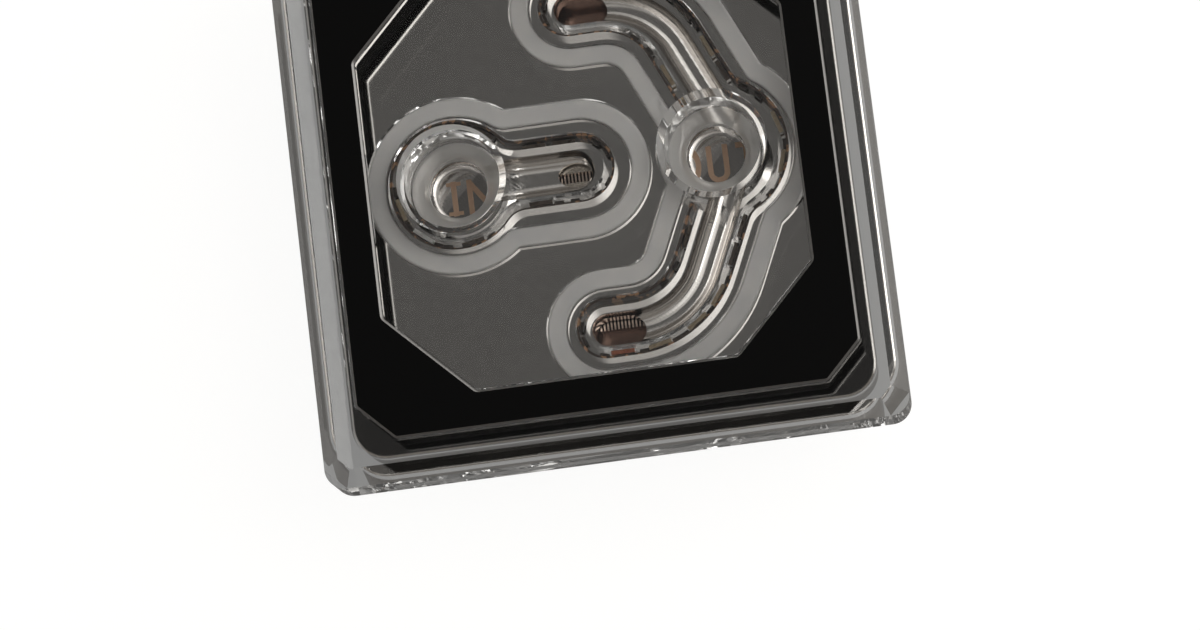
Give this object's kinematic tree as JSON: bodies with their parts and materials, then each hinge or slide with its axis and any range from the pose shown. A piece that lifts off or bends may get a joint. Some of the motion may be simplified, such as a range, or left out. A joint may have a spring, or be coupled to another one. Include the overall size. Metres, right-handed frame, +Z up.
{
  "type": "cpu water block",
  "caption": "Square water block for a processor: clear faceted cover with black frame and threaded ports over a nickel-plated channel body and finned copper cold plate.",
  "frame": {"origin": "centre of the contact face that presses on the processor", "axes": "+Z up through the clear cover; X runs along the line of the two ports, from IN at -X to OUT at +X"},
  "size_m": [0.07, 0.07, 0.0197],
  "materials": {
    "clear_acrylic": "clear polished acrylic with matt milled recesses",
    "black_plate": "black anodised plate with bright bevelled edges",
    "nickel_plate": "bright nickel plating over brass",
    "bare_copper": "bare copper, lapped contact face",
    "pale_silicone": "pale grey translucent silicone",
    "dark_rubber": "black rubber",
    "jet_steel": "thin stainless sheet",
    "screw_steel": "stainless steel",
    "adhesive": "black adhesive film",
    "tape_circuit": "flexible circuit with a dark cover coat",
    "light_package": "moulded light package with an amber window",
    "chip_case": "moulded chip case"
  },
  "bodies": {
    "root": {"base_screws": "screw_steel", "base_seal": "dark_rubber", "black_frame": "black_plate", "channel_body": "nickel_plate", "clear_cover": "clear_acrylic", "cold_plate": "bare_copper", "cover_screws": "screw_steel", "frame_tape": "adhesive", "gasket_in": "pale_silicone", "gasket_out": "pale_silicone", "jet_plate": "jet_steel", "led_in_1": "light_package", "led_in_2": "light_package", "led_in_3": "light_package", "led_in_4": "light_package", "led_in_5": "light_package", "led_in_6": "light_package", "led_in_7": "light_package", "led_in_8": "light_package", "led_in_9": "light_package", "led_out_1": "light_package", "led_out_10": "light_package", "led_out_11": "light_package", "led_out_12": "light_package", "led_out_13": "light_package", "led_out_14": "light_package", "led_out_15": "light_package", "led_out_16": "light_package", "led_out_2": "light_package", "led_out_3": "light_package", "led_out_4": "light_package", "led_out_5": "light_package", "led_out_6": "light_package", "led_out_7": "light_package", "led_out_8": "light_package", "led_out_9": "light_package", "led_tape_in": "tape_circuit", "led_tape_out": "tape_circuit", "tape_chips_in": "chip_case", "tape_chips_out": "chip_case"}
  },
  "joints": []
}
